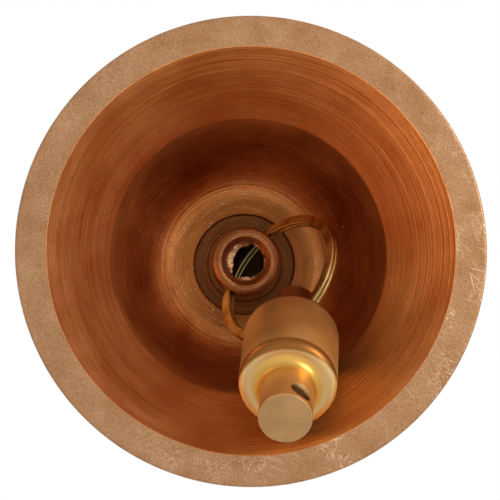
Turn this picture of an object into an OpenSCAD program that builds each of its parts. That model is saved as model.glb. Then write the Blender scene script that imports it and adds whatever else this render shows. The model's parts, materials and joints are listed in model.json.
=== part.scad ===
// Small turned bell with a brass clapper hung on a split ring from a hollow cross-drilled stud.
// Millimetres. +Z runs up the bell axis, the mouth faces down, the origin is the centre of the hanging eye.

/* [Bell] */
// Outside radius of the lip
lip_r = 50; // [48:0.5:52]
// Inside radius of the mouth
mouth_r = 43.4; // [42:0.1:45]
// Depth of the crisp edge where the flare meets the waist
edge_depth = 25; // [22:0.5:28]
// Inside radius at that edge
edge_r = 30.8; // [29:0.1:32]
// Depth of the crown ceiling above the lip
ceiling_depth = 62; // [60:0.5:64]
// Thickness of the crown at its centre
crown_t = 6; // [5:0.5:8]
// Outside radius of the waist
waist_r = 34.8; // [34:0.1:36]
// Radius of the turned beads outside
bead_r = 0.9; // [0.6:0.1:1.2]

/* [Crown recess] */
// Radius of the turned recess around the stud
recess_r = 12.2; // [11:0.1:13]
// Depth of the recess cut into the crown
recess_cut = 2; // [1:0.1:3]
// Radius of the seat washer in the recess
seat_r = 9.05; // [8.5:0.05:10]
// Thickness of the seat washer
seat_t = 1.5; // [1:0.1:2]

/* [Hollow stud] */
// Radius of the stud barrel
stud_r = 7.75; // [7.5:0.05:8]
// Depth of the stud end above the lip
stud_end_depth = 46; // [45:0.5:47]
// Radius of the countersink at the stud end
sink_r = 5.8; // [5.4:0.1:6]
// Depth of the countersink
sink_deep = 1.2; // [0.8:0.1:1.6]
// Circumscribed radius of the six-sided bore
hex_r = 4.7; // [4.4:0.05:5]
// Depth of the six-sided bore
hex_deep = 13; // [11:0.5:14]
// Radius of the cross hole that carries the ring
cross_r = 3.7; // [3.6:0.05:4]
// Height of the cross hole above the stud end
cross_up = 5.5; // [5.2:0.1:6]
// Radius of the threaded shank
shank_r = 6; // [5.5:0.1:6.5]

/* [Split ring] */
// Centreline radius of the ring
ring_r = 15.5; // [15:0.1:16]
// Width of the wire measured along the ring radius
wire_w = 2.3; // [2:0.1:2.4]
// Thickness of one coil
coil_t = 1.05; // [0.9:0.05:1.1]
// Depth of the groove between the coils
coil_groove = 0.3; // [0.1:0.05:0.4]
// Width of the gap at a coil end
end_gap = 0.7; // [0.4:0.1:1]
// Place of the first coil end around the ring, counted from the stud
end_place = 24; // [0:1:359]
// Place of the second coil end counted from the first
end_step = 16; // [15:1:40]
// Direction of the stud cross hole around the bell axis
hole_az = -54.4; // [-60:0.1:-50]
// Swing of the ring away from plumb
ring_swing = 35.5; // [30:0.1:40]
// Tilt of the ring within its own plane
ring_tilt = -3; // [-4:0.1:0]
// Offset of the wire from the axis of the stud cross hole
stud_sit = 0.6; // [0.4:0.1:0.8]

/* [Clapper] */
// Radius of the clapper body
body_r = 10.5; // [10:0.05:10.7]
// Length of the clapper body
body_len = 25; // [24:0.2:26]
// Radius of the two necks
neck_r = 5.65; // [5.5:0.05:5.8]
// Length of each neck
neck_len = 14.3; // [13.5:0.1:15]
// Radius of the cross hole in each neck
tie_r = 2.4; // [2.3:0.05:2.5]
// Distance of the lower cross hole from the lower neck end
tie_in = 3.9; // [3.4:0.1:4.4]
// Distance of the cross hole that the split ring passes through from the upper neck end
hinge_in = 6.9; // [5:0.1:7.2]
// Turn of the lower cross hole about the clapper, counted from the upper one
tail_turn = 11; // [0:1:20]
// Radius of the rounded shoulder edges
shoulder_round = 2; // [1:0.1:2.4]
// Radius of the coves between necks and body
cove_r = 2.3; // [1.5:0.1:2.6]
// Offset of the wire from the axis of the clapper cross hole
clapper_sit = 0.5; // [0.3:0.1:0.6]
// Place of the clapper around the ring, counted from the stud
clapper_place = -151; // [-155:0.1:-148]
// Turn of the clapper about its cross hole
clapper_turn = 20.7; // [18:0.1:24]

/* [Hanging hardware] */
// Radius of the washer on the crown
washer_r = 13; // [12:0.5:14]
// Thickness of that washer
washer_t = 1.6; // [1:0.1:2.5]
// Across-flats size of the crown nut
nut_af = 19; // [18:0.5:21]
// Height of the crown nut
nut_t = 7.5; // [6:0.5:9]
// Length of shank standing above the crown nut
shank_proud = 1.5; // [1:0.1:3]
// Across-flats size of the eye lock nut
lock_af = 11; // [10:0.5:12]
// Height of the eye lock nut
lock_t = 4; // [3:0.5:5]
// Radius of the collar under the eye
collar_r = 4.6; // [4.2:0.1:5]
// Thickness of that collar
collar_t = 1.4; // [1:0.1:2]
// Outside radius of the hanging eye
eye_r = 10.5; // [10:0.5:11]
// Bore radius of the hanging eye
eye_bore_r = 5.5; // [5:0.1:6]
// Thickness of the hanging eye
eye_t = 5; // [4.5:0.5:6]
// Radius of the eye shank
eye_shank_r = 3; // [2.5:0.1:3.2]
// Length of the eye shank inside the stud
eye_shank_in = 8; // [6:0.5:9]

/* [Hidden] */
$fn = 96;
curve_n = 14;
arc_n = 8;
eps = 0.01;
thread_gap = 0.05;
shank_gap = 0.2;
wire_round = 0.3;
lip_round = 0.5;
eye_sink = 0.7;
eye_edge = 1.2;
bore_edge = 0.4;
waist_top = 50;
waist_top_r = 33.2;
crown_pad_r = 15;
seat_floor = ceiling_depth + recess_cut;
barrel_top = seat_floor - seat_t;
crown_top = ceiling_depth + crown_t;
nut_low = crown_top + washer_t;
stud_top = nut_low + nut_t + shank_proud;
eye_low = stud_top + lock_t + collar_t;
lip_z = -(eye_low + eye_r - eye_sink);
cross_depth = stud_end_depth + cross_up;
beads = [[7.4, 45], [10.2, 42.2], [48, 33.9]];

// Points of a cubic curve through four control points.
function cubic(a, b, c, d, n) = [
  for (i = [0:n])
    let (t = i / n, s = 1 - t)
      s * s * s * a + 3 * s * s * t * b + 3 * s * t * t * c + t * t * t * d
];

// Points of a circular arc in the profile plane.
function arc(cx, cy, r, a0, a1, n) = [
  for (i = [0:n])
    let (a = a0 + (a1 - a0) * i / n)
      [cx + r * cos(a), cy + r * sin(a)]
];

// Outside of the bell from the lip up to the crown pad.
outside_line = concat(
  [[lip_r - lip_round, 0], [lip_r, lip_round], [lip_r, 2.4]],
  cubic([lip_r - 0.4, 3], [lip_r - 7, 9], [waist_r + 1.8, 20], [waist_r, 36], curve_n),
  cubic(
    [waist_top_r, waist_top], [waist_top_r - 0.4, 59], [29.5, crown_top - 2.6],
    [20, crown_top - 0.7], curve_n
  ),
  [[crown_pad_r, crown_top]]
);

// Inside of the bell from the shank hole down to the mouth.
inside_line = concat(
  [
    [shank_r + shank_gap, crown_top], [shank_r + shank_gap, seat_floor],
    [recess_r, seat_floor], [recess_r, ceiling_depth]
  ],
  cubic([17, ceiling_depth], [27, 60.5], [29, 47], [edge_r, edge_depth], curve_n),
  [[mouth_r, 0]]
);

// Half section of one clapper neck and shoulder, counted from the neck end.
shoulder_line = concat(
  [[0, 0]],
  arc(neck_r - 0.5, 0.5, 0.5, -90, 0, arc_n),
  arc(neck_r + cove_r, neck_len - cove_r, cove_r, 180, 90, arc_n),
  arc(
    body_r - shoulder_round, neck_len + shoulder_round, shoulder_round, -90, 0, arc_n
  )
);
clapper_len = 2 * neck_len + body_len;
clapper_line = concat(
  shoulder_line,
  [for (i = [len(shoulder_line) - 1:-1:0]) [shoulder_line[i][0], clapper_len - shoulder_line[i][1]]]
);

module at_depth(depth) {
  translate([0, 0, lip_z + depth]) children();
}

module at_ring() {
  at_depth(cross_depth)
    rotate([0, 0, hole_az])
      rotate([ring_swing, 0, 0])
        rotate([0, ring_tilt, 0])
          translate([0, 0, stud_sit - ring_r]) children();
}

module at_clapper() {
  at_ring()
    rotate([0, clapper_place, 0])
      translate([0, 0, ring_r - clapper_sit])
        rotate([clapper_turn, 0, 0]) children();
}

module hex_nut(af, height, bore_r) {
  corner_r = af / sqrt(3);
  bevel = (corner_r - af / 2) * 0.6;
  difference() {
    intersection() {
      cylinder(r = corner_r, h = height, $fn = 6);
      rotate_extrude() polygon([
        [0, 0], [af / 2, 0], [corner_r, bevel], [corner_r, height - bevel],
        [af / 2, height], [0, height]
      ]);
    }
    translate([0, 0, -eps]) cylinder(r = bore_r, h = height + 2 * eps);
  }
}

module bell_shell() {
  color([0.66, 0.40, 0.26]) at_depth(0) {
    rotate_extrude() polygon(concat(outside_line, inside_line));
    for (b = beads)
      translate([0, 0, b[0]])
        rotate_extrude() translate([b[1], 0]) circle(r = bead_r, $fn = 24);
  }
}

module crown_stud() {
  color([0.62, 0.36, 0.24]) at_depth(0) difference() {
    rotate_extrude() polygon([
      [0, stud_end_depth], [stud_r - 0.5, stud_end_depth], [stud_r, stud_end_depth + 0.5],
      [stud_r, barrel_top], [shank_r, barrel_top], [shank_r, stud_top - 0.8],
      [shank_r - 0.8, stud_top], [0, stud_top]
    ]);
    translate([0, 0, stud_end_depth - eps])
      cylinder(r1 = sink_r, r2 = hex_r, h = sink_deep);
    translate([0, 0, stud_end_depth + sink_deep - 2 * eps])
      cylinder(r = hex_r, h = hex_deep - sink_deep, $fn = 6);
    translate([0, 0, cross_depth]) rotate([0, 0, hole_az]) rotate([0, 90, 0])
      cylinder(r = cross_r, h = 4 * stud_r, center = true);
    translate([0, 0, stud_top - eye_shank_in - 1])
      cylinder(r = eye_shank_r + thread_gap, h = eye_shank_in + 2);
  }
}

module seat_washer() {
  color([0.50, 0.27, 0.18]) at_depth(barrel_top) difference() {
    cylinder(r = seat_r, h = seat_t);
    translate([0, 0, -eps]) cylinder(r = shank_r + shank_gap, h = seat_t + 2 * eps);
  }
}

module crown_washer() {
  color([0.78, 0.62, 0.34]) at_depth(crown_top) difference() {
    cylinder(r = washer_r, h = washer_t);
    translate([0, 0, -eps]) cylinder(r = shank_r + shank_gap, h = washer_t + 2 * eps);
  }
}

module crown_nut() {
  color([0.76, 0.60, 0.33]) at_depth(nut_low) hex_nut(nut_af, nut_t, shank_r + thread_gap);
}

module lock_nut() {
  color([0.76, 0.60, 0.33]) at_depth(stud_top) hex_nut(lock_af, lock_t, eye_shank_r + thread_gap);
}

module hanging_eye() {
  color([0.78, 0.62, 0.36]) {
    difference() {
      union() {
        rotate([0, 90, 0]) rotate_extrude() polygon([
          [0, -eye_t / 2], [eye_r - eye_edge, -eye_t / 2], [eye_r, eye_edge - eye_t / 2],
          [eye_r, eye_t / 2 - eye_edge], [eye_r - eye_edge, eye_t / 2], [0, eye_t / 2]
        ]);
        at_depth(stud_top + lock_t) cylinder(r = collar_r, h = collar_t);
        at_depth(stud_top - eye_shank_in)
          cylinder(r = eye_shank_r, h = eye_shank_in + lock_t + collar_t + 2);
      }
      rotate([0, 90, 0]) rotate_extrude() polygon([
        [0, -eye_t], [eye_bore_r + bore_edge, -eye_t], [eye_bore_r + bore_edge, -eye_t / 2],
        [eye_bore_r, bore_edge - eye_t / 2], [eye_bore_r, eye_t / 2 - bore_edge],
        [eye_bore_r + bore_edge, eye_t / 2], [eye_bore_r + bore_edge, eye_t], [0, eye_t]
      ]);
    }
  }
}

module split_ring() {
  low_r = ring_r - wire_w / 2;
  high_r = ring_r + wire_w / 2;
  color([0.72, 0.62, 0.38]) at_ring() rotate([90, 0, 0]) difference() {
    rotate_extrude() polygon([
      [low_r, wire_round - coil_t], [low_r + wire_round, -coil_t],
      [high_r - wire_round, -coil_t], [high_r, wire_round - coil_t],
      [high_r, -coil_groove / 2], [high_r - coil_groove, 0], [high_r, coil_groove / 2],
      [high_r, coil_t - wire_round], [high_r - wire_round, coil_t],
      [low_r + wire_round, coil_t], [low_r, coil_t - wire_round],
      [low_r, coil_groove / 2], [low_r + coil_groove, 0], [low_r, -coil_groove / 2]
    ]);
    for (side = [0, 1])
      rotate([0, 0, 90 - end_place - side * end_step])
        translate([ring_r, 0, (side * 2 - 1) * coil_t])
          cube([2 * wire_w, end_gap, 2 * coil_t], center = true);
  }
}

module clapper() {
  color([0.74, 0.60, 0.36]) at_clapper() translate([0, 0, -hinge_in]) difference() {
    rotate_extrude() polygon(clapper_line);
    for (hole = [[hinge_in, 0], [clapper_len - tie_in, tail_turn]])
      translate([0, 0, hole[0]]) rotate([0, 90, hole[1]])
        cylinder(r = tie_r, h = 4 * neck_r, center = true);
  }
}

bell_shell();
crown_stud();
seat_washer();
crown_washer();
crown_nut();
lock_nut();
hanging_eye();
split_ring();
clapper();
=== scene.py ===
import json
import math
import random

import bpy
import bmesh
from mathutils import Matrix, Vector, noise


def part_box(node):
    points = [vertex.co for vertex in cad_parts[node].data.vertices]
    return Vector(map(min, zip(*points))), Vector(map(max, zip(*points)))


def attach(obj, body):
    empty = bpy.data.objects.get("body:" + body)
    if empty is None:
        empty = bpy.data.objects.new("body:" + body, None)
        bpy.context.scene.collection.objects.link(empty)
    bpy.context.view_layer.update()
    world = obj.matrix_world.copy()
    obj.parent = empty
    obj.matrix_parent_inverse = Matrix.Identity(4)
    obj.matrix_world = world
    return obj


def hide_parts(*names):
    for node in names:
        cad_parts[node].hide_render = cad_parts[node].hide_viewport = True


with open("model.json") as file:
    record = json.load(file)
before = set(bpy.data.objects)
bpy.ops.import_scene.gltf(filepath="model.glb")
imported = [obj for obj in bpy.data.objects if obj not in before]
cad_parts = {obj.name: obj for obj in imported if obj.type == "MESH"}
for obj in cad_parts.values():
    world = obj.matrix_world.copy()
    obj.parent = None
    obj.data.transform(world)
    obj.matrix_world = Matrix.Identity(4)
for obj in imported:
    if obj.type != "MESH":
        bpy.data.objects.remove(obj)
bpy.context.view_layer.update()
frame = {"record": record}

record = frame["record"]
MM = 0.001
rng = random.Random(7)

# ---------------------------------------------------------------- sizes in mm, as in the CAD source
LIP_R, MOUTH_R = 50.0, 43.4
EDGE_DEPTH, EDGE_R = 25.0, 30.8
CEILING, CROWN_TOP = 62.0, 68.0
WAIST_R, WAIST_TOP, WAIST_TOP_R = 34.8, 50.0, 33.2
RECESS_R, RECESS_CUT = 12.2, 2.0
SEAT_R, SEAT_T = 9.05, 1.5
STUD_R, STUD_END = 7.75, 46.0
CROSS_R, CROSS_UP = 3.7, 5.5
SHANK_R = 6.0
RING_R, WIRE_W, COIL_T = 15.5, 2.3, 1.05
HOLE_AZ, RING_SWING, RING_TILT, STUD_SIT = -54.4, 35.5, -3.0, 0.6
BODY_R, BODY_LEN = 10.5, 25.0
NECK_R, NECK_LEN = 5.65, 14.3
TIE_R, TIE_IN, HINGE_IN = 2.4, 3.9, 6.9
WASHER_R, WASHER_T = 13.0, 1.6
NUT_AF, NUT_T, PROUD = 19.0, 7.5, 1.5
LOCK_AF, LOCK_T = 11.0, 4.0
COLLAR_R, COLLAR_T = 4.6, 1.4
EYE_R, EYE_BORE, EYE_T, EYE_SHANK = 10.5, 5.5, 5.0, 3.0
SEAT_FLOOR = CEILING + RECESS_CUT
BARREL_TOP = SEAT_FLOOR - SEAT_T
NUT_LOW = CROWN_TOP + WASHER_T
STUD_TOP = NUT_LOW + NUT_T + PROUD
LIP_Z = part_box("bell_shell")[0].z / MM

# ---------------------------------------------------------------- sizes in mm, of the looks only
INSIDE = 0.02  # how far the outermost surfaces stay inside the CAD's
LIP_ROUND = 0.5
CROWN_FLAT_R = 15.0
BEAD_DEPTHS, BEAD_HALF, BEAD_PROUD = (7.4, 10.2, 48.0), 1.0, 0.75
THREAD_PITCH, THREAD_DEPTH = 1.0, 0.32
COVE_R, SHOULDER_R, END_ROUND, END_IN = 2.3, 2.2, 0.25, 0.11
COIL_START, COIL_CROSS, COIL_END = 37.0, (380.0, 396.0), 739.0  # degrees along the ring's wire

joints = {j["name"]: j for j in record["behaviour"]["joints"]}
mounts = {m["name"]: m for m in record["mounts"]}


# ---------------------------------------------------------------- profile helpers: lists of (radius, height) in mm
def cubic(a, b, c, d, n):
    out = []
    for i in range(n + 1):
        t = i / n
        s = 1 - t
        out.append(tuple(s**3 * a[k] + 3 * s * s * t * b[k] + 3 * s * t * t * c[k] + t**3 * d[k] for k in (0, 1)))
    return out


def arc(cx, cy, r, a0, a1, n):
    angles = [math.radians(a0 + (a1 - a0) * i / n) for i in range(n + 1)]
    return [(cx + r * math.cos(a), cy + r * math.sin(a)) for a in angles]


def line(a, b, step):
    n = max(1, int(math.dist(a, b) / step))
    return [(a[0] + (b[0] - a[0]) * i / n, a[1] + (b[1] - a[1]) * i / n) for i in range(n + 1)]


# ---------------------------------------------------------------- mesh helpers
def link(name, mesh, place=None):
    obj = bpy.data.objects.new(name, mesh)
    bpy.context.scene.collection.objects.link(obj)
    if place is not None:
        obj.matrix_world = place
    return obj


def lathe(name, profile, seg=192, place=None, wobble=None, parts=None, closed=False):
    """Turns (radius, height) points in mm about local Z.

    wobble(i, angle, r, z) may move a point and shift its ring; parts[i] is the material of the strip after point i."""
    bm = bmesh.new()
    rings = []
    for i, (r, z) in enumerate(profile):
        if r < 1e-6:
            rings.append([bm.verts.new((0, 0, z * MM))])
            continue
        ring = []
        for k in range(seg):
            a = 2 * math.pi * k / seg
            pr, pz, ox, oy = r, z, 0.0, 0.0
            if wobble:
                pr, pz, ox, oy = wobble(i, a, r, z)
            ring.append(bm.verts.new(((pr * math.cos(a) + ox) * MM, (pr * math.sin(a) + oy) * MM, pz * MM)))
        rings.append(ring)
    pairs = list(zip(range(len(rings) - 1), range(1, len(rings))))
    if closed:
        pairs.append((len(rings) - 1, 0))
    for i, j in pairs:
        a, b = rings[i], rings[j]
        for k in range(seg):
            n = (k + 1) % seg
            if len(a) == 1 and len(b) == 1:
                break
            if len(a) == 1:
                f = bm.faces.new((a[0], b[n], b[k]))
            elif len(b) == 1:
                f = bm.faces.new((a[k], a[n], b[0]))
            else:
                f = bm.faces.new((a[k], a[n], b[n], b[k]))
            f.smooth = True
            f.material_index = parts[i] if parts else 0
    bmesh.ops.recalc_face_normals(bm, faces=bm.faces[:])
    mesh = bpy.data.meshes.new(name)
    bm.to_mesh(mesh)
    bm.free()
    return link(name, mesh, place)


def boolean(obj, cutter, op="DIFFERENCE"):
    mod = obj.modifiers.new("cut", "BOOLEAN")
    mod.operation = op
    mod.solver = "EXACT"
    mod.object = cutter
    bpy.context.view_layer.update()
    deps = bpy.context.evaluated_depsgraph_get()
    mesh = bpy.data.meshes.new_from_object(obj.evaluated_get(deps))
    obj.modifiers.clear()
    obj.data = mesh
    bpy.data.objects.remove(cutter)


def bake(obj):
    """Puts the piece's place into its mesh, so its box lies along the shared axes."""
    obj.data.transform(obj.matrix_world)
    obj.matrix_world = Matrix.Identity(4)
    obj.data.update()


def sharpen(obj, degrees):
    """Splits the shading where two faces meet at more than this angle."""
    bm = bmesh.new()
    bm.from_mesh(obj.data)
    limit = math.radians(degrees)
    for f in bm.faces:
        f.smooth = True
    for e in bm.edges:
        e.smooth = not (len(e.link_faces) == 2 and e.calc_face_angle(0) > limit)
    bm.to_mesh(obj.data)
    bm.free()


def rotation(x=0.0, y=0.0, z=0.0):
    about = {k: Matrix.Rotation(math.radians(v), 4, k) for k, v in (("X", x), ("Y", y), ("Z", z))}
    return about["Z"] @ about["X"] @ about["Y"]


def at_height(z):
    """A place on the bell's axis, z mm above the lip."""
    return Matrix.Translation((0, 0, (LIP_Z + z) * MM))


def noise_round(a, scale, layer):
    """Noise that closes on itself as the angle a goes once round."""
    return noise.noise(Vector((math.cos(a) * scale, math.sin(a) * scale, layer)))


# ---------------------------------------------------------------- material helpers
class Mat:
    """A metal whose coordinates are those of the piece's own turning frame (place), local Z being the turning axis."""

    def __init__(self, name, metallic=1.0, roughness=0.4, place=None):
        self.m = bpy.data.materials.new(name)
        self.m.use_nodes = True
        self.t = self.m.node_tree
        self.t.nodes.clear()
        out = self.t.nodes.new("ShaderNodeOutputMaterial")
        self.b = self.t.nodes.new("ShaderNodeBsdfPrincipled")
        self.t.links.new(self.b.outputs[0], out.inputs[0])
        self.b.inputs["Metallic"].default_value = metallic
        self.b.inputs["Roughness"].default_value = roughness
        self.co = self.t.nodes.new("ShaderNodeTexCoord").outputs["Object"]
        if place is not None:
            at = self.t.nodes.new("ShaderNodeMapping")
            at.vector_type = "TEXTURE"
            at.inputs["Location"].default_value = place.translation
            at.inputs["Rotation"].default_value = place.to_euler("XYZ")
            self.t.links.new(self.co, at.inputs["Vector"])
            self.co = at.outputs[0]
        sep = self.t.nodes.new("ShaderNodeSeparateXYZ")
        self.t.links.new(self.co, sep.inputs[0])
        self.x, self.y, self.z = sep.outputs

    def put(self, socket, value):
        if isinstance(value, bpy.types.NodeSocket):
            self.t.links.new(value, socket)
        elif isinstance(value, tuple) and len(value) == 3 and socket.type == "RGBA":
            socket.default_value = (*value, 1)
        else:
            socket.default_value = value

    def math(self, op, a, b=0.0):
        n = self.t.nodes.new("ShaderNodeMath")
        n.operation = op
        self.put(n.inputs[0], a)
        self.put(n.inputs[1], b)
        return n.outputs[0]

    def times(self, first, *rest):
        for factor in rest:
            first = self.math("MULTIPLY", first, factor)
        return first

    def plus(self, a, b):
        return self.math("ADD", a, b)

    def vec(self, x, y, z):
        n = self.t.nodes.new("ShaderNodeCombineXYZ")
        for i, v in enumerate((x, y, z)):
            self.put(n.inputs[i], v)
        return n.outputs[0]

    def noise(self, vector, scale=1.0, detail=3.0, rough=0.55, distortion=0.0):
        n = self.t.nodes.new("ShaderNodeTexNoise")
        self.put(n.inputs["Vector"], vector)
        n.inputs["Scale"].default_value = scale
        n.inputs["Detail"].default_value = detail
        n.inputs["Roughness"].default_value = rough
        n.inputs["Distortion"].default_value = distortion
        return n.outputs[0]

    def cells(self, scale):
        n = self.t.nodes.new("ShaderNodeTexVoronoi")
        self.put(n.inputs["Vector"], self.co)
        n.inputs["Scale"].default_value = scale
        return n.outputs["Distance"]

    def span(self, value, low, high, to_low=0.0, to_high=1.0):
        n = self.t.nodes.new("ShaderNodeMapRange")
        n.clamp = True
        for i, v in enumerate((value, low, high, to_low, to_high)):
            self.put(n.inputs[i], v)
        return n.outputs[0]

    def span_mm(self, value, low, high, to_low=0.0, to_high=1.0):
        return self.span(value, low * MM, high * MM, to_low, to_high)

    def mix(self, factor, a, b):
        n = self.t.nodes.new("ShaderNodeMix")
        n.data_type = "RGBA"
        self.put(n.inputs[0], factor)
        self.put(n.inputs[6], a)
        self.put(n.inputs[7], b)
        return n.outputs[2]

    def bump(self, height, distance_mm, strength=1.0, normal=None):
        n = self.t.nodes.new("ShaderNodeBump")
        n.inputs["Strength"].default_value = strength
        n.inputs["Distance"].default_value = distance_mm * MM
        self.put(n.inputs["Height"], height)
        if normal is not None:
            self.put(n.inputs["Normal"], normal)
        return n.outputs[0]

    def radius(self):
        return self.math("SQRT", self.plus(self.times(self.x, self.x), self.times(self.y, self.y)))

    def safe_radius(self):
        return self.math("MAXIMUM", self.radius(), 0.01 * MM)

    def lines(self, per_m, around, detail, slope):
        """Fine rings round local Z, as a lathe tool leaves them; around sets how fast they change along the turn."""
        safe = self.safe_radius()
        along = self.times(self.plus(self.radius(), self.times(self.z, slope)), per_m)
        cx = self.times(self.math("DIVIDE", self.x, safe), around)
        cy = self.times(self.math("DIVIDE", self.y, safe), around)
        return self.noise(self.vec(along, cx, cy), 1.0, detail, 0.5)

    def done(self, color, roughness=None, normal=None):
        self.put(self.b.inputs["Base Color"], color)
        if roughness is not None:
            self.put(self.b.inputs["Roughness"], roughness)
        if normal is not None:
            self.put(self.b.inputs["Normal"], normal)
        return self.m


LINE_SLOPE = 1.3  # how far along Z counts against radius in the lathe lines
DUST = (1.0, 0.74, 0.52)
# crown: a deep brown that is partly stain and partly painted shade, and the colour of its painted glints
CROWN_STAIN_AND_SHADE, CROWN_GLINT = (0.16, 0.045, 0.008), (1.0, 0.58, 0.30)
# clapper shoulders: painted shade dimming the faces and necks, and a tan painted shade where the rounding starts
SHOULDER_FACE_SHADE, SHOULDER_SHADE = (0.72, 0.44, 0.18), (0.30, 0.115, 0.026)
# painted shade in the clapper's coves and over its upper neck
COVE_SHADE, FAR_NECK_SHADE = (0.74, 0.41, 0.085), (0.20, 0.11, 0.045)
# painted shade on the ring wire where it lies in the stud's bore
WIRE_BORE_SHADE = (0.10, 0.085, 0.035)


def turned(
    name, light, dark, rough, per_m, depth, stain, specks=0.0, slope=LINE_SLOPE, place=None, stains_and_painted_light=None
):
    """A turned metal: two colours mixed by blotches and by its own lathe lines, with dust specks where asked.

    per_m gives the coarse and fine lines in a metre, depth their height in mm, stain the blotches' share of the
    colour, and the overlay function given last lays the piece's own stains, painted shade and painted glints over it."""
    m = Mat(name, place=place)
    blotch = m.noise(m.co, 55.0, 4.0, 0.6)
    spots = m.noise(m.co, 420.0, 3.0, 0.6)
    grit = m.noise(m.co, 1400.0, 3.0, 0.7)
    pits = m.noise(m.co, 2600.0, 2.0, 0.6)
    coarse = m.lines(per_m[0], 1.0, 2.0, slope)
    fine = m.lines(per_m[1], 2.2, 2.0, slope)
    tone = m.plus(m.times(blotch, stain), m.times(coarse, 1.0 - stain))
    color = m.mix(m.span(tone, 0.36, 0.64), dark, light)
    color = m.mix(m.span(spots, 0.52, 0.70, 0.0, 0.55), color, dark)
    color = m.mix(m.span(grit, 0.55, 0.70, 0.0, 0.4), color, light)
    normal = m.bump(m.plus(m.times(coarse, 1.6), fine), depth, 0.8)
    normal = m.bump(pits, depth * 0.5, 0.5, normal)
    if stains_and_painted_light:
        color = stains_and_painted_light(m, color)
    if specks:
        spread = m.span(m.noise(m.co, 75.0, 3.0), 0.42, 0.60)
        small = m.times(m.span(m.cells(1000.0), 0.09, 0.17, 1.0, 0.0), spread, 0.6)
        large = m.span(m.cells(190.0), 0.028, 0.042, 1.0, 0.0)
        mask = m.times(m.math("MAXIMUM", small, large), specks)
        color = m.mix(mask, color, DUST)
        m.put(m.b.inputs["Metallic"], m.math("SUBTRACT", 1.0, mask))
    return m.done(color, m.span(m.plus(blotch, m.times(fine, 0.5)), 0.5, 1.0, rough[0], rough[1]), normal)


def crown_stain_shade_and_glints(m, color):
    """The crown's flat darkened to a deep brown, partly stain and partly painted shade that is a little stronger on
    the +X, -Y side, with painted glints: bright grains along the tool rings where the flat ends.
    """
    patch = m.span(m.noise(m.co, 60.0, 3.0), 0.35, 0.65, 0.75, 1.0)
    # painted shade: the flat's darkening is a little stronger on the +X, -Y side
    side = m.span(m.math("SUBTRACT", m.y, m.x), -0.01, 0.016, 1.0, 0.9)
    color = m.mix(m.times(m.span_mm(m.radius(), 18.5, 15.5), patch, side, 0.85), color, CROWN_STAIN_AND_SHADE)
    zone = m.times(m.span_mm(m.radius(), 12.4, 16.5), m.span_mm(m.radius(), 26, 20))
    zone = m.times(zone, m.span(m.noise(m.co, 70.0, 2.0), 0.34, 0.62, 0.25, 1.0))
    # painted glints: bright grains along the tool rings
    glint = m.span(m.lines(2300.0, 1.5, 1.0, LINE_SLOPE), 0.48, 0.66)
    glint = m.times(glint, m.span(m.noise(m.co, 3000.0, 2.0, 0.7), 0.48, 0.66))
    return m.mix(m.times(glint, zone, 0.75), color, CROWN_GLINT)


def clapper_painted_shade(m, color):
    """Painted shade on the clapper: shoulder faces and necks dimmed to a duller brown, tan over the start of the
    shoulder rounding on the side that faces the bell's middle, darker gold in the coves and a darker upper neck.
    """
    low = NECK_LEN - HINGE_IN
    end = BODY_LEN / 2
    off = m.math("ABSOLUTE", m.math("SUBTRACT", m.z, (low + end) * MM))
    inner = clapper_place.to_3x3().inverted() @ Vector((0, -1, 0))
    facing = m.plus(m.times(m.x, inner.x), m.times(m.y, inner.y))
    facing = m.math("MAXIMUM", m.math("DIVIDE", facing, m.safe_radius()), 0.0)
    # painted shade: shoulder faces and necks dimmed to a duller brown
    face = m.times(m.span_mm(m.radius(), 10.2, 9.0), m.span_mm(off, end - 2.0, end - 0.6))
    color = m.mix(m.times(face, 0.95), color, SHOULDER_FACE_SHADE)
    # painted shade: a tan band where the shoulder rounding starts, wider on the side that faces the bell's middle
    reach = m.plus(m.radius(), m.times(facing, 2.1 * MM))
    tan = m.times(m.span_mm(reach, 10.3, 10.8), m.span_mm(off, end - 2.7, end - 1.9), m.span_mm(m.radius(), 7.7, 8.2))
    color = m.mix(tan, color, SHOULDER_SHADE)
    # painted shade: darker gold in the coves between the necks and the shoulders
    cove = m.times(m.span_mm(m.radius(), 8.1, 7.0), m.span_mm(off, end - 1.6, end - 0.4))
    cove = m.times(cove, m.span_mm(off, end + 1.5, end + 4.5, 1.0, 0.3))
    color = m.mix(m.times(cove, 0.9), color, COVE_SHADE)
    # painted shade: the upper neck, by the hinge hole, darkened
    return m.mix(m.span_mm(m.z, low - 1.2, low, 0.75, 0.0), color, FAR_NECK_SHADE)


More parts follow.
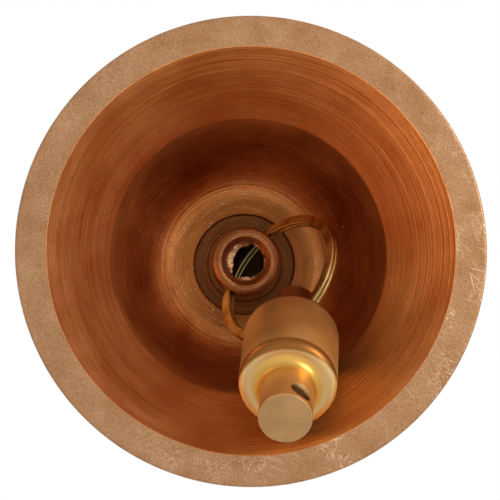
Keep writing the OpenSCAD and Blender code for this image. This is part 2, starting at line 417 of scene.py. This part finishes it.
def ground(name):
    """The lip's ground face: pinkish bronze, finely pitted, with burnished scratches and ridges whose bright colour is
    a painted highlight, strongest towards +X, +Y, and painted glints on its grains.
    """
    m = Mat(name)
    cloud = m.noise(m.co, 130.0, 5.0, 0.65)
    fine = m.noise(m.co, 1900.0, 4.0, 0.75)
    glint = m.noise(m.co, 3300.0, 2.0, 0.6)
    # painted glints: scratches and ridges get brighter towards +X, +Y
    glint_side = m.span(m.plus(m.x, m.y), 0.01, 0.055)
    color = m.mix(m.span(cloud, 0.35, 0.66), (0.385, 0.185, 0.08), (0.50, 0.27, 0.135))
    color = m.mix(m.span(fine, 0.52, 0.66, 0.0, 0.6), color, (0.24, 0.10, 0.04))
    # painted glints on fine grains
    color = m.mix(m.span(glint, 0.58, 0.68, 0.0, 0.6), color, (0.74, 0.48, 0.29))
    scratches = None
    for k, (tx, ty) in enumerate(((0.7, 0.7), (0.95, 0.3), (0.2, 0.98))):
        along = m.plus(m.times(m.x, tx), m.times(m.y, ty))
        across = m.math("SUBTRACT", m.times(m.y, tx), m.times(m.x, ty))
        s = m.noise(m.vec(m.times(along, 90.0), m.times(across, 1500.0), 3.1 * k), 1.0, 2.0, 0.5)
        s = m.span(s, 0.63, 0.72)
        scratches = s if scratches is None else m.math("MAXIMUM", scratches, s)
    wave = m.noise(m.co, 420.0, 3.0, 0.6, 1.6)
    ridge = m.span(m.math("ABSOLUTE", m.math("SUBTRACT", wave, 0.5)), 0.0, 0.035, 1.0, 0.0)
    cluster = m.span(m.noise(m.co, 85.0, 2.0), 0.50, 0.60)
    ridge = m.times(ridge, m.times(cluster, m.plus(0.3, glint_side)))
    patch = m.span(m.noise(m.co, 38.0, 2.0), 0.46, 0.62, 0.25, 1.0)
    bright = m.math("MAXIMUM", m.times(scratches, patch, m.plus(0.25, glint_side)), ridge)
    # the scratches and ridges are real marks; their bright colour here is a painted highlight
    color = m.mix(m.times(bright, 0.6), color, (0.86, 0.62, 0.40))
    normal = m.bump(fine, 0.07, 1.0)
    normal = m.bump(cloud, 0.12, 0.5, normal)
    normal = m.bump(bright, 0.03, 0.6, normal)
    return m.done(color, m.span(fine, 0.3, 0.7, 0.36, 0.58), normal)


def dull_brass(name, light, dark, rough, grain=2400.0, place=None, shaded_from=None):
    """A plain worn brass; above the height given in mm along local Z, painted shade darkens it."""
    m = Mat(name, place=place)
    cloud = m.noise(m.co, 160.0, 4.0, 0.6)
    fine = m.noise(m.co, grain, 3.0, 0.6)
    color = m.mix(m.span(cloud, 0.38, 0.64), dark, light)
    # painted shade: darkens the piece above the given height
    if shaded_from:
        color = m.mix(m.span_mm(m.z, shaded_from, shaded_from + 1.5, 0.0, 0.85), color, WIRE_BORE_SHADE)
    normal = m.bump(fine, 0.02, 0.7)
    return m.done(color, m.span(cloud, 0.3, 0.7, rough[0], rough[1]), normal)


# ---------------------------------------------------------------- places of the ring and the clapper
def place_of_ring():
    swung = rotation(z=HOLE_AZ) @ rotation(x=RING_SWING) @ rotation(y=RING_TILT)
    return at_height(STUD_END + CROSS_UP) @ swung @ Matrix.Translation((0, 0, (STUD_SIT - RING_R) * MM))


def place_of_clapper():
    top = Vector(joints["clapper_swing"]["pos_m"])
    tail = Vector(mounts["clapper_tail_hole"]["pos_m"])
    along = (tail - top).normalized()
    across = Vector(joints["clapper_swing"]["axis"]).normalized()
    place = Matrix((across, along.cross(across).normalized(), along)).transposed().to_4x4()
    place.translation = top
    return place


ring_place, clapper_place = place_of_ring(), place_of_clapper()

# ---------------------------------------------------------------- materials
mat_lip = ground("ground_lip")
mat_flare = turned(
    "turned_flare", (1.0, 0.56, 0.25), (0.80, 0.38, 0.14), (0.30, 0.46), (900.0, 3000.0), 0.045, 0.35
)
mat_waist = turned(
    "turned_waist", (0.82, 0.33, 0.092), (0.54, 0.18, 0.045), (0.34, 0.55), (900.0, 3000.0), 0.06, 0.6, 0.9,
    stains_and_painted_light=crown_stain_shade_and_glints,
)
mat_recess = turned(
    "turned_recess", (0.25, 0.09, 0.027), (0.14, 0.045, 0.013), (0.4, 0.6), (1100.0, 3600.0), 0.04, 0.4, 0.3
)
mat_outer = turned(
    "turned_outside", (0.66, 0.36, 0.165), (0.55, 0.275, 0.11), (0.22, 0.36), (900.0, 3400.0), 0.008, 0.45
)
mat_stud = turned(
    "turned_stud", (0.46, 0.19, 0.07), (0.26, 0.10, 0.03), (0.3, 0.5), (1300.0, 4200.0), 0.04, 0.4, 0.5
)
mat_pitted = turned(
    "pitted_stud_band", (0.58, 0.25, 0.095), (0.20, 0.065, 0.02), (0.3, 0.6), (2600.0, 5200.0), 0.14, 0.5, 0.9
)
# the countersink and the thin groove beside the pitted band are coloured dark brown
mat_sink = turned(
    "dark_countersink", (0.40, 0.17, 0.075), (0.20, 0.075, 0.03), (0.35, 0.55), (1600.0, 4200.0), 0.05, 0.5
)
mat_clap = turned(
    "turned_clapper", (1.0, 0.86, 0.40), (0.92, 0.72, 0.30), (0.32, 0.44), (600.0, 3600.0), 0.01, 0.8,
    slope=1.0, place=clapper_place, stains_and_painted_light=clapper_painted_shade,
)
mat_hard = turned(
    "turned_hardware", (0.68, 0.47, 0.20), (0.55, 0.36, 0.14), (0.26, 0.4), (1200.0, 4200.0), 0.008, 0.5
)
mat_raw = dull_brass("raw_bore_edge", (0.74, 0.47, 0.27), (0.40, 0.20, 0.095), (0.3, 0.6), 3200.0)
# painted shade: the stud's bore is coloured near black
mat_bore_shade = dull_brass("bore_painted_shade", (0.12, 0.055, 0.026), (0.06, 0.026, 0.012), (0.5, 0.7))
mat_ring = dull_brass(
    "dull_ring_wire", (0.78, 0.66, 0.33), (0.36, 0.27, 0.105), (0.26, 0.42), place=ring_place, shaded_from=12.4
)
mat_cut = dull_brass("cut_wire_end", (0.95, 0.85, 0.60), (0.80, 0.68, 0.42), (0.4, 0.55), place=ring_place)
mat_clap_end = dull_brass(
    "sawn_clapper_end", (0.59, 0.345, 0.155), (0.49, 0.275, 0.115), (0.5, 0.62), 1800.0, clapper_place
)
mat_hole = dull_brass("drilled_hole", (0.40, 0.20, 0.07), (0.22, 0.10, 0.035), (0.4, 0.6), 1800.0, clapper_place)


def dress(obj, body, node, *mats):
    for m in mats:
        obj.data.materials.append(m)
    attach(obj, body)
    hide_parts(node)
    return obj


# ---------------------------------------------------------------- bell shell
def bell():
    LIP, FLARE, WAIST, RECESS, OUT = range(5)
    prof, part = [], []

    def add(points, k):
        for p in points:
            if prof and math.dist(prof[-1], p) < 0.02:
                continue
            prof.append(p)
            part.append(k)

    # outside, from the lip up to the crown
    add(line((MOUTH_R + 0.04, 0), (LIP_R - LIP_ROUND, 0), 0.5), LIP)
    add(arc(LIP_R - LIP_ROUND, LIP_ROUND, LIP_ROUND, -90, 0, 5), LIP)
    add([(LIP_R, 1.4), (LIP_R, 2.4)], OUT)
    add(cubic((LIP_R - 0.4, 3), (LIP_R - 7, 9), (WAIST_R + 1.8, 20), (WAIST_R, 36), 70), OUT)
    shoulder = (WAIST_TOP_R - 0.4, 59), (29.5, CROWN_TOP - 2.6), (20, CROWN_TOP - 0.7)
    add(cubic((WAIST_TOP_R, WAIST_TOP), *shoulder, 44), OUT)
    add(line((20, CROWN_TOP - 0.7), (15, CROWN_TOP), 0.8), OUT)
    add([(14.6, CROWN_TOP), (10, CROWN_TOP), (SHANK_R + 0.2, CROWN_TOP)], OUT)
    # inside, from the shank hole down to the mouth
    add([(SHANK_R + 0.2, SEAT_FLOOR)], RECESS)
    add(line((SHANK_R + 0.3, SEAT_FLOOR), (RECESS_R - 0.3, SEAT_FLOOR), 0.3), RECESS)
    add(line((RECESS_R, SEAT_FLOOR - 0.2), (RECESS_R, CEILING + 0.15), 0.4), RECESS)
    edge_at = len(prof)
    add([(RECESS_R + 0.02, CEILING), (RECESS_R + 0.35, CEILING - 0.05)], WAIST)
    add(line((RECESS_R + 0.6, CEILING), (CROWN_FLAT_R, CEILING), 0.4), WAIST)
    add(cubic((CROWN_FLAT_R, CEILING), (24.5, CEILING - 0.1), (29.3, 49), (EDGE_R, EDGE_DEPTH), 130), WAIST)
    flare_from = len(prof)
    add(line((EDGE_R, EDGE_DEPTH), (MOUTH_R - 0.05, 0.1), 0.24), FLARE)

    ripple = [0.0] * len(prof)
    for i in range(edge_at + 2, len(prof) - 2):
        amp = 0.022 if i > flare_from else 0.03
        ripple[i] = rng.uniform(-amp, amp) * (2.2 if rng.random() < 0.12 else 1.0)

    local = [(min(r, LIP_R - INSIDE), z) for r, z in prof]
    for i, (r, z) in enumerate(local):
        for depth in BEAD_DEPTHS:
            d = abs(z - depth) / BEAD_HALF
            if part[i] == OUT and d < 1.0 and r > SHANK_R + 4:
                local[i] = (r + BEAD_PROUD * math.sqrt(1 - d * d), z)

    def wobble(i, a, r, z):
        if i >= edge_at + 2:
            r += ripple[i] * (0.9 + 0.4 * noise_round(a, 1.4, i * 0.7))
        if edge_at <= i <= edge_at + 1:
            burr = max(0.0, noise_round(a, 22, 3.0))
            side = max(0.0, math.cos(a - math.radians(150)))
            r -= burr * 0.5 * (0.35 + side)
            z -= burr * 0.35 * side
        if i == 0 or i == len(prof) - 1:
            r += 0.04 * noise_round(a, 30, 1.0)
        if part[i] == LIP:
            z = max(0.0, z + 0.03 * noise_round(a, r * 0.8, 5.0))
        return r, z, 0.0, 0.0

    obj = lathe("bell", local, 320, at_height(0), wobble, part, closed=True)
    sharpen(obj, 32)
    return dress(obj, "bell", "bell_shell", mat_lip, mat_flare, mat_waist, mat_recess, mat_outer)


# ---------------------------------------------------------------- hollow stud
def stud():
    OUT, PIT, SINK, RAW, BORE = range(5)
    prof, part = [], []

    def add(points, k):
        for p in points:
            prof.append(p)
            part.append(k)

    e = STUD_END
    # the bore, then the end face outwards
    add([(0, 59.6)], BORE)
    add([(3.3, 58.2), (3.5, 56.5), (3.55, 54.5), (3.6, 52.5), (3.6, 51.0)], BORE)
    add([(3.62, 49.6)], RAW)
    raw_from = len(prof) - 1
    add([(3.66, 48.7), (3.75, 48.35), (4.15, 48.1), (4.4, 47.9), (4.5, 47.5)], RAW)
    raw_to = len(prof)
    add([(4.62, 47.25)], SINK)
    add(line((4.75, e + 1.1), (5.7, e + 0.12), 0.2), SINK)
    add([(5.8, e + 0.02), (5.88, e)], PIT)
    add(line((6.0, e), (6.55, e), 0.12), PIT)
    add([(6.62, e + 0.16), (6.74, e + 0.16)], SINK)
    add([(6.82, e + 0.02), (6.95, e + 0.03)], OUT)
    # the barrel, the threaded shank and its top
    add(arc(STUD_R - 0.75, e + 0.98, 0.75, -78, 0, 9), OUT)
    add(line((STUD_R, e + 1.2), (STUD_R, BARREL_TOP), 0.6), OUT)
    add([(SHANK_R, BARREL_TOP)], OUT)
    z = BARREL_TOP + 0.2
    while z < STUD_TOP - 1.2:
        add([(SHANK_R - THREAD_DEPTH, z), (SHANK_R, z + THREAD_PITCH / 2)], OUT)
        z += THREAD_PITCH
    add([(SHANK_R - 0.8, STUD_TOP), (3.05, STUD_TOP), (3.05, STUD_TOP - 9), (0, STUD_TOP - 9.4)], OUT)

    def wobble(i, a, r, z):
        ox = 0.0
        if i < raw_to and r < 4.6:
            side = 2 * math.pi / 7
            flats = math.cos(side / 2) / math.cos((a + 0.35) % side - side / 2)
            fine = noise_round(a, 14, i * 0.9)
            if i >= raw_from:
                r = r * (0.35 + 0.65 * flats) * 1.03 + 0.22 * noise_round(a, 5, i * 0.5) + 0.12 * fine
                z = z + 0.14 * fine
            ox = 0.75 * min(1.0, max(0.0, (4.5 - prof[i][0]) / 0.8))
        elif z < e + 0.3 and 5.7 < r < 7.5:
            z = z + max(0.0, 0.12 * noise_round(a, 26, r * 3))
        return r, z, ox, 0.0

    obj = lathe("stud", prof, 216, at_height(0), wobble, part)
    dress(obj, "bell", "crown_stud", mat_stud, mat_pitted, mat_sink, mat_raw, mat_bore_shade)
    half = [(0, -14), (4.3, -14), (CROSS_R + 0.25, -STUD_R), (CROSS_R, -6.6)]
    hole_at = at_height(STUD_END + CROSS_UP) @ rotation(z=HOLE_AZ) @ rotation(y=90)
    boolean(obj, lathe("cutter", half + [(r, -h) for r, h in reversed(half)], 72, hole_at))
    sharpen(obj, 30)


# ---------------------------------------------------------------- washers, nuts and eye
def washer(name, node, bore, radius, low, height, mat, ridge=0.0):
    bevel = 0.12
    prof = [(bore, bevel), (bore + bevel, 0)]
    r = bore + bevel
    while r < radius - 0.45:
        r += 0.3
        prof.append((r, ridge * rng.uniform(0, 1)))
    prof += [(radius - bevel, 0), (radius, bevel), (radius, height - bevel), (radius - bevel, height)]
    prof += [(bore + bevel, height), (bore, height - bevel)]
    obj = lathe(name, prof, 160, at_height(low), closed=True)
    sharpen(obj, 35)
    return dress(obj, "bell", node, mat)


def nut(name, node, flats, height, bore, low, mat):
    """A six-sided nut, flats mm across, whose corners are cut back by a cone at both ends."""
    corner = flats / math.sqrt(3)
    rise = (corner - flats / 2) * 0.6
    up = [rise * k / 7 for k in range(8)]
    prof = [(bore, 0.4), (bore + 0.4, 0.0), (flats / 2 - 0.25, 0.0)]
    prof += [(corner, z) for z in up + [height - z for z in reversed(up)]]
    prof += [(flats / 2 - 0.25, height), (bore + 0.4, height), (bore, height - 0.4)]

    def wobble(i, a, r, z):
        if r < corner - 1e-6:
            return r, z, 0.0, 0.0
        side = flats / 2 / math.cos((a + math.pi / 6) % (math.pi / 3) - math.pi / 6)
        cone = flats / 2 + (corner - flats / 2) * min(1.0, min(z, height - z) / rise)
        return min(side, cone), z, 0.0, 0.0

    obj = lathe(name, prof, 180, at_height(low), wobble, closed=True)
    sharpen(obj, 24)
    return dress(obj, "bell", node, mat)


def hanging_eye():
    w, rim, edge = EYE_T / 2, EYE_R - 0.01, 1.2
    prof = [(EYE_BORE + 0.4, -w), (rim - edge - 0.4, -w)]
    prof += arc(rim - edge, -w + edge, edge, -90, 0, 8)
    prof += arc(rim - edge, w - edge, edge, 0, 90, 8)
    prof += [(EYE_BORE + 0.4, w), (EYE_BORE + 0.1, w - 0.12), (EYE_BORE, w - 0.4)]
    prof += [(EYE_BORE, 0.4 - w), (EYE_BORE + 0.1, 0.12 - w)]
    obj = lathe("eye", prof, 168, rotation(y=90), closed=True)
    low = STUD_TOP - 8 + LIP_Z
    base = STUD_TOP + LOCK_T + LIP_Z
    top = base + COLLAR_T
    stem = [(0, low), (EYE_SHANK - 0.5, low), (EYE_SHANK, low + 0.5), (EYE_SHANK, base - 0.02)]
    stem += [(COLLAR_R - 0.15, base), (COLLAR_R, base + 0.15), (COLLAR_R, top - 0.3)]
    stem += arc(COLLAR_R + 0.4, top + 0.9, 1.3, 205, 180, 6) + [(COLLAR_R - 0.3, top)]
    stem += [(EYE_SHANK + 0.2, top + 0.5), (EYE_SHANK, top + 1.0), (EYE_SHANK - 0.2, top + 2.2), (0, top + 2.3)]
    boolean(obj, lathe("post", stem, 96), "UNION")
    sharpen(obj, 32)
    return dress(obj, "bell", "hanging_eye", mat_hard)


# ---------------------------------------------------------------- split ring
def split_ring():
    """One wire wound twice: it starts on the +Y side, steps across beside the stud and ends on the -Y side."""
    half_w, half_t, rad = WIRE_W / 2, COIL_T / 2 - 0.015, 0.34
    in_w, in_t = half_w - rad, half_t - rad
    section = []
    for cx, cy, a0 in ((in_w, in_t, 0), (-in_w, in_t, 90), (-in_w, -in_t, 180), (in_w, -in_t, 270)):
        section += arc(cx, cy, rad, a0, a0 + 90, 4)
    bm = bmesh.new()
    rows = []
    n = int((COIL_END - COIL_START) / 2)
    for k in range(n + 1):
        t = COIL_START + (COIL_END - COIL_START) * k / n
        s = min(1.0, max(0.0, (t - COIL_CROSS[0]) / (COIL_CROSS[1] - COIL_CROSS[0])))
        y = COIL_T / 2 * (1 - 2 * (s * s * (3 - 2 * s)))
        a = math.radians(t)
        wear = 0.94 if k in (0, n) else 1.0
        row = []
        for u, v in section:
            r = RING_R + u * wear
            row.append(bm.verts.new((r * math.sin(a) * MM, (y + v * wear) * MM, r * math.cos(a) * MM)))
        rows.append(row)
    m = len(section)
    for a, b in zip(rows, rows[1:]):
        for k in range(m):
            bm.faces.new((a[k], a[(k + 1) % m], b[(k + 1) % m], b[k]))
    bm.faces.new(rows[0]).material_index = 1
    bm.faces.new(rows[-1][::-1]).material_index = 1
    bmesh.ops.recalc_face_normals(bm, faces=bm.faces[:])
    mesh = bpy.data.meshes.new("ring")
    bm.to_mesh(mesh)
    bm.free()
    obj = link("ring", mesh, ring_place)
    sharpen(obj, 40)
    bake(obj)
    return dress(obj, "ring", "split_ring", mat_ring, mat_cut)


# ---------------------------------------------------------------- clapper
def clapper():
    neck, total = NECK_R - INSIDE, 2 * NECK_LEN + BODY_LEN
    half = [(0.0, END_IN + 0.14), (0.18, END_IN + 0.06), (0.35, END_IN)]
    half += line((0.6, END_IN), (neck - END_ROUND - 0.1, END_IN), 0.5)
    half += arc(neck - END_ROUND, END_IN + END_ROUND, END_ROUND, -90, 0, 6)
    half += line((neck, 0.75), (neck, NECK_LEN - COVE_R - 0.2), 0.5)
    half += arc(NECK_R + COVE_R, NECK_LEN - COVE_R, COVE_R, 180, 90, 12)
    half += arc(BODY_R - SHOULDER_R, NECK_LEN + SHOULDER_R, SHOULDER_R, -90, 0, 12)
    low = NECK_LEN + SHOULDER_R + 0.3
    full = half + line((BODY_R, low), (BODY_R, total - low), 0.6) + [(r, total - z) for r, z in reversed(half)]
    part = [1 if r < neck - 0.01 and not 1 <= z <= total - 1 else 0 for r, z in full]
    obj = lathe("clapper", [(r, z - HINGE_IN) for r, z in full], 176, clapper_place, None, part)
    dress(obj, "clapper", "clapper", mat_clap, mat_clap_end, mat_hole)
    tail_axis = clapper_place.to_3x3().inverted() @ Vector(mounts["clapper_tail_hole"]["axis"])
    holes = ((0.0, 0.0), (total - HINGE_IN - TIE_IN, math.atan2(tail_axis.y, tail_axis.x)))
    rim = [(0, -9), (4.5, -9), (TIE_R + 0.25, 0.1 - NECK_R), (TIE_R, -4.7)]
    for z, about in holes:
        across = Matrix.Rotation(about, 4, "Z") @ rotation(y=90)
        at = clapper_place @ Matrix.Translation((0, 0, z * MM)) @ across
        boolean(obj, lathe("cutter", rim + [(r, -h) for r, h in reversed(rim)], 64, at))
    for f in obj.data.polygons:
        for z, about in holes:
            off = math.cos(about) * f.center.y - math.sin(about) * f.center.x
            if math.hypot(off, f.center.z - z * MM) < (TIE_R + 0.02) * MM:
                f.material_index = 2
    sharpen(obj, 30)
    bake(obj)


bell()
stud()
washer("seat_ring", "seat_washer", SHANK_R + 0.2, SEAT_R, BARREL_TOP, SEAT_T, mat_recess, 0.05)
washer("top_washer", "crown_washer", SHANK_R + 0.2, WASHER_R, CROWN_TOP, WASHER_T, mat_hard, 0.01)
nut("top_nut", "crown_nut", NUT_AF, NUT_T, SHANK_R + 0.05, NUT_LOW, mat_hard)
nut("jam_nut", "lock_nut", LOCK_AF, LOCK_T, EYE_SHANK + 0.05, STUD_TOP, mat_hard)
hanging_eye()
split_ring()
clapper()


# ---------------------------------------------------------------- floor, light and camera, in metres
FLOOR_HALF, FLOOR_Z = 6.0, -0.95
CAMERA_AWAY, CAMERA_TILT, CAMERA_SIDE = 0.450, 3.6, (-0.451, 0.8925)
CAMERA_AIM, CAMERA_LENS, SENSOR = (-0.00035, 0.00003, 0), 153.2, 36.0


def floor():
    bm = bmesh.new()
    corners = ((-1, -1), (1, -1), (1, 1), (-1, 1))
    bm.faces.new([bm.verts.new((x * FLOOR_HALF, y * FLOOR_HALF, FLOOR_Z)) for x, y in corners])
    mesh = bpy.data.meshes.new("floor")
    bm.to_mesh(mesh)
    bm.free()
    obj = link("floor", mesh)
    m = Mat("pale_floor", 0.0, 0.7)
    pale = m.mix(m.span(m.noise(m.co, 3.0, 2.0), 0.3, 0.7), (0.82, 0.82, 0.82), (0.85, 0.85, 0.84))
    # painted pool of light: the floor is pale under the bell and fades to grey from 0.5 to 2.5 m out
    obj.data.materials.append(m.done(m.mix(m.span(m.radius(), 0.5, 2.5), pale, (0.5, 0.5, 0.5))))


def area(name, place, target, size, power, color=(1, 1, 1)):
    data = bpy.data.lights.new(name, "AREA")
    data.shape = "DISK"
    data.size = size
    data.energy = power
    data.color = color
    obj = bpy.data.objects.new(name, data)
    bpy.context.scene.collection.objects.link(obj)
    obj.location = place
    obj.rotation_euler = (Vector(target) - Vector(place)).to_track_quat("-Z", "Y").to_euler()


def camera(mouth):
    """Looks nearly straight into the mouth, with -Y up in the image."""
    tilt = math.radians(CAMERA_TILT)
    away = Vector((math.sin(tilt) * CAMERA_SIDE[0], math.sin(tilt) * CAMERA_SIDE[1], -math.cos(tilt)))
    eye = mouth + CAMERA_AWAY * away
    ahead = (mouth + Vector(CAMERA_AIM) - eye).normalized()
    right = ahead.cross(Vector((0, -1, 0))).normalized()
    pose = Matrix((right, right.cross(ahead), -ahead)).transposed().to_4x4()
    pose.translation = eye
    cam = bpy.data.cameras.new("camera")
    cam.lens, cam.sensor_width, cam.clip_start = CAMERA_LENS, SENSOR, 0.01
    obj = bpy.data.objects.new("camera", cam)
    bpy.context.scene.collection.objects.link(obj)
    obj.matrix_world = pose
    bpy.context.scene.camera = obj


floor()
mouth = Vector((0, 0, LIP_Z * MM))
area("key", (0.47, -0.16, -0.48), mouth, 0.30, 1.85, (1.0, 0.98, 0.95))
area("upper", (0.5, -0.9, 0.8), mouth, 0.8, 5.0)
camera(mouth)

world = bpy.data.worlds.new("studio")
bpy.context.scene.world = world
world.use_nodes = True
back = world.node_tree.nodes["Background"]
back.inputs[0].default_value = (1, 1, 1, 1)
back.inputs[1].default_value = 1.0
bpy.context.scene.view_settings.view_transform = "Standard"
